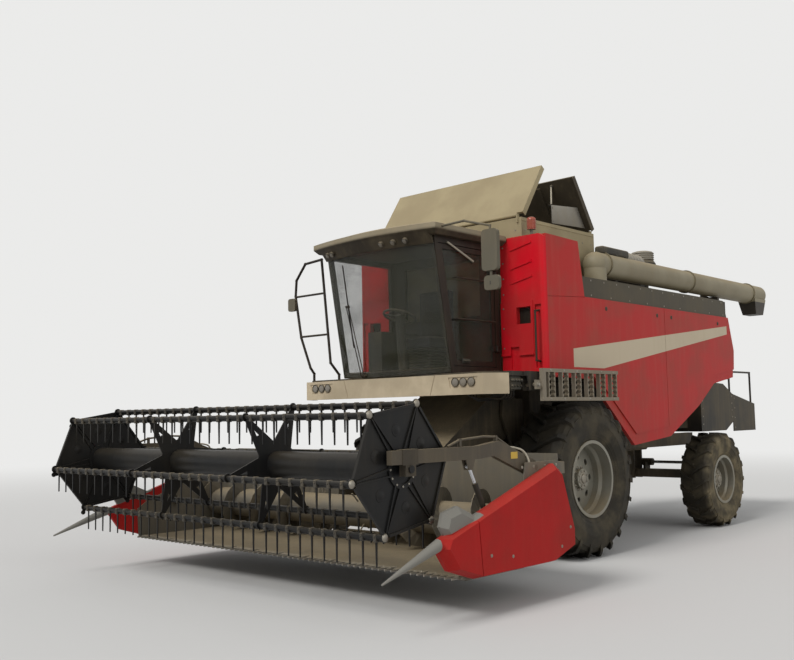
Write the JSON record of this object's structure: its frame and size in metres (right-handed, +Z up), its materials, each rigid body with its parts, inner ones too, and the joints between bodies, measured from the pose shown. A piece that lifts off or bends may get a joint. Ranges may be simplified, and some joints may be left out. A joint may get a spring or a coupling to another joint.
{
  "type": "combine harvester with cutting header",
  "caption": "Self-propelled grain harvester: wide cutting header with a tined reel, glazed cab, grain tank with raised covers, folded unloading tube, big driven wheels and steered rear wheels.",
  "frame": {"origin": "On the ground below the middle of the machine's width and length", "axes": "+Y runs backwards along the machine, which drives towards -Y, +X to its left side, +Z up"},
  "size_m": [5.12, 10.8362, 4.6356],
  "materials": {
    "frame_paint": "dark grey paint, dusty, satin",
    "body_red": "red paint, dusty, gloss",
    "body_grey": "grey paint, dusty, satin",
    "tank_tan": "tan paint, dusty, satin",
    "fascia_beige": "beige moulding, satin",
    "roof_tan": "pale tan moulding, satin",
    "cab_dark": "near black paint, satin",
    "window_glass": "dark tinted glass, gloss",
    "soft_trim": "dark grey cloth, matte",
    "dark_plastic": "dark grey plastic, matte",
    "lamp_glass": "clear and amber lenses, gloss",
    "tyre_rubber": "dusty black rubber, matte",
    "rim_silver": "silver grey paint, satin",
    "header_red": "deep red paint, dusty, satin",
    "header_grey": "light grey worn paint, satin",
    "knife_steel": "worn bright steel, satin",
    "cylinder_black": "dark grey paint, satin",
    "rod_chrome": "bright rod, gloss",
    "reel_black": "black paint, dusty, satin",
    "auger_olive": "grey olive paint, dusty, satin",
    "engine_iron": "dusty cast iron, matte"
  },
  "bodies": {
    "chassis": {"chassis_frame": "frame_paint", "front_axle": "frame_paint", "rear_axle": "frame_paint", "main_housing": "frame_paint", "side_panel_left": "body_red", "side_panel_right": "body_red", "front_walls": "body_red", "grain_tank": "tank_tan", "engine_block": "engine_iron", "engine_hood": "body_grey", "straw_hood": "body_grey", "straw_spreader": "body_grey", "cab_frame": "cab_dark", "cab_roof": "roof_tan", "cab_glass": "window_glass", "operator_seat": "soft_trim", "steering_console": "dark_plastic", "operator_platform": "frame_paint", "front_fascia": "fascia_beige", "work_lamps": "lamp_glass", "handrails": "cab_dark", "mirrors": "dark_plastic", "auger_turret": "auger_olive"},
    "door": {"cab_door": "cab_dark", "door_glass": "window_glass"},
    "front_cover": {"tank_cover_front": "tank_tan"},
    "rear_cover": {"tank_cover_rear": "tank_tan"},
    "unloader": {"unloading_auger": "auger_olive"},
    "boarding_ladder": {"ladder": "body_grey"},
    "front_wheel_left": {"front_tyre_left": "tyre_rubber", "front_rim_left": "rim_silver"},
    "front_wheel_right": {"front_tyre_right": "tyre_rubber", "front_rim_right": "rim_silver"},
    "steer_left": {"knuckle_left": "frame_paint"},
    "steer_right": {"knuckle_right": "frame_paint"},
    "tie_rod": {"steering_rod": "rod_chrome"},
    "rear_wheel_left": {"rear_tyre_left": "tyre_rubber", "rear_rim_left": "rim_silver"},
    "rear_wheel_right": {"rear_tyre_right": "tyre_rubber", "rear_rim_right": "rim_silver"},
    "header": {"feeder_house": "frame_paint", "header_frame": "header_grey", "header_ends": "header_red", "cutterbar": "knife_steel"},
    "table_auger": {"header_auger": "header_grey"},
    "lift_barrel_pair": {"lift_barrels": "cylinder_black"},
    "lift_rod_pair": {"lift_rods": "rod_chrome"},
    "arm_pair": {"reel_arms": "header_grey"},
    "reel_slides": {"reel_carriers": "frame_paint"},
    "reel": {"reel_rotor": "reel_black"},
    "reel_ring": {"eccentric_ring": "reel_black"},
    "reel_barrel_pair": {"reel_lift_barrels": "cylinder_black"},
    "reel_rod_pair": {"reel_lift_rods": "rod_chrome"},
    "tine_bat_1": {"bat_1": "reel_black"},
    "tine_bat_2": {"bat_2": "reel_black"},
    "tine_bat_3": {"bat_3": "reel_black"},
    "tine_bat_4": {"bat_4": "reel_black"},
    "tine_bat_5": {"bat_5": "reel_black"},
    "tine_bat_6": {"bat_6": "reel_black"}
  },
  "joints": [
    {"name": "wheel_front_left", "type": "hinge", "parent": "chassis", "child": "front_wheel_left", "pos_m": [1.3, -0.787, 0.9], "axis": [1, 0, 0], "continuous": true},
    {"name": "wheel_front_right", "type": "hinge", "parent": "chassis", "child": "front_wheel_right", "pos_m": [-1.3, -0.787, 0.9], "axis": [1, 0, 0], "continuous": true},
    {"name": "steering_left", "type": "hinge", "parent": "chassis", "child": "steer_left", "pos_m": [1, 2.913, 0.73], "axis": [0, 0, 1], "range_deg": [-25, 25]},
    {"name": "steering_right", "type": "hinge", "parent": "chassis", "child": "steer_right", "pos_m": [-1, 2.913, 0.73], "axis": [0, 0, 1], "range_deg": [-25, 25]},
    {"name": "steering_slide", "type": "slide", "parent": "chassis", "child": "tie_rod", "axis": [1, 0, 0], "range_m": [-0.084, 0.084]},
    {"name": "wheel_rear_left", "type": "hinge", "parent": "steer_left", "child": "rear_wheel_left", "pos_m": [1.3, 2.913, 0.67], "axis": [1, 0, 0], "continuous": true},
    {"name": "wheel_rear_right", "type": "hinge", "parent": "steer_right", "child": "rear_wheel_right", "pos_m": [-1.3, 2.913, 0.67], "axis": [1, 0, 0], "continuous": true},
    {"name": "header_lift", "type": "hinge", "parent": "chassis", "child": "header", "pos_m": [0, -1.137, 1.7], "axis": [-1, 0, 0], "range_deg": [-4, 18]},
    {"name": "lift_barrel_swing", "type": "hinge", "parent": "chassis", "child": "lift_barrel_pair", "pos_m": [0, -0.977, 0.69], "axis": [-1, 0, 0], "range_deg": [-3.73, 16.1]},
    {"name": "lift_rod_stroke", "type": "slide", "parent": "lift_barrel_pair", "child": "lift_rod_pair", "axis": [0, -0.9955, -0.095], "range_m": [-0.0722, 0.318]},
    {"name": "auger_spin", "type": "hinge", "parent": "header", "child": "table_auger", "pos_m": [0, -3.154, 0.657], "axis": [1, 0, 0], "continuous": true},
    {"name": "reel_lift", "type": "hinge", "parent": "header", "child": "arm_pair", "pos_m": [0, -3.187, 1.18], "axis": [-1, 0, 0], "range_deg": [-5, 18]},
    {"name": "reel_barrel_swing", "type": "hinge", "parent": "header", "child": "reel_barrel_pair", "pos_m": [0, -3.787, 0.69], "axis": [-1, 0, 0], "range_deg": [-3.7, 12.82]},
    {"name": "reel_rod_stroke", "type": "slide", "parent": "reel_barrel_pair", "child": "reel_rod_pair", "axis": [0, -0.4697, 0.8828], "range_m": [-0.0669, 0.2356]},
    {"name": "reel_slide", "type": "slide", "parent": "arm_pair", "child": "reel_slides", "axis": [0, 1, 0], "range_m": [0, 0.32]},
    {"name": "reel_spin", "type": "hinge", "parent": "reel_slides", "child": "reel", "pos_m": [0, -4.837, 1.25], "axis": [1, 0, 0], "continuous": true},
    {"name": "reel_ring_turn", "type": "hinge", "parent": "reel_slides", "child": "reel_ring", "pos_m": [0, -4.837, 1.19], "axis": [1, 0, 0], "continuous": true},
    {"name": "bat_1_upright", "type": "hinge", "parent": "reel", "child": "tine_bat_1", "pos_m": [0, -5.38517, 1.16318], "axis": [1, 0, 0], "continuous": true},
    {"name": "bat_2_upright", "type": "hinge", "parent": "reel", "child": "tine_bat_2", "pos_m": [0, -5.18627, 1.68132], "axis": [1, 0, 0], "continuous": true},
    {"name": "bat_3_upright", "type": "hinge", "parent": "reel", "child": "tine_bat_3", "pos_m": [0, -4.63811, 1.76814], "axis": [1, 0, 0], "continuous": true},
    {"name": "bat_4_upright", "type": "hinge", "parent": "reel", "child": "tine_bat_4", "pos_m": [0, -4.28883, 1.33682], "axis": [1, 0, 0], "continuous": true},
    {"name": "bat_5_upright", "type": "hinge", "parent": "reel", "child": "tine_bat_5", "pos_m": [0, -4.48773, 0.81868], "axis": [1, 0, 0], "continuous": true},
    {"name": "bat_6_upright", "type": "hinge", "parent": "reel", "child": "tine_bat_6", "pos_m": [0, -5.03589, 0.73186], "axis": [1, 0, 0], "continuous": true},
    {"name": "unloader_swing", "type": "hinge", "parent": "chassis", "child": "unloader", "pos_m": [1.31, -0.147, 3.51], "axis": [0, 0, -1], "range_deg": [0, 95]},
    {"name": "front_cover_swing", "type": "hinge", "parent": "chassis", "child": "front_cover", "pos_m": [0, -1.457, 3.976], "axis": [-1, 0, 0], "range_deg": [0, 56]},
    {"name": "rear_cover_swing", "type": "hinge", "parent": "chassis", "child": "rear_cover", "pos_m": [0, 0.133, 3.976], "axis": [1, 0, 0], "range_deg": [0, 56]},
    {"name": "ladder_fold", "type": "hinge", "parent": "chassis", "child": "boarding_ladder", "pos_m": [1.64, -1.967, 1.975], "axis": [-1, 0, 0], "range_deg": [0, 90]},
    {"name": "door_swing", "type": "hinge", "parent": "chassis", "child": "door", "pos_m": [0.866, -1.622, 2.85], "axis": [0, 0, 1], "range_deg": [0, 72]}
  ],
  "couplings": [
    {"joint": "steering_right", "follows": "steering_left", "ratio": 1},
    {"joint": "steering_slide", "follows": "steering_left", "m_per_rad": -0.19},
    {"joint": "lift_barrel_swing", "follows": "header_lift", "ratio": 0.8836},
    {"joint": "lift_rod_stroke", "follows": "header_lift", "m_per_rad": 1.0059},
    {"joint": "reel_barrel_swing", "follows": "reel_lift", "ratio": 0.7009},
    {"joint": "reel_rod_stroke", "follows": "reel_lift", "m_per_rad": 0.7437},
    {"joint": "reel_ring_turn", "follows": "reel_spin", "ratio": 1},
    {"joint": "bat_1_upright", "follows": "reel_spin", "ratio": -1},
    {"joint": "bat_2_upright", "follows": "reel_spin", "ratio": -1},
    {"joint": "bat_3_upright", "follows": "reel_spin", "ratio": -1},
    {"joint": "bat_4_upright", "follows": "reel_spin", "ratio": -1},
    {"joint": "bat_5_upright", "follows": "reel_spin", "ratio": -1},
    {"joint": "bat_6_upright", "follows": "reel_spin", "ratio": -1}
  ]
}
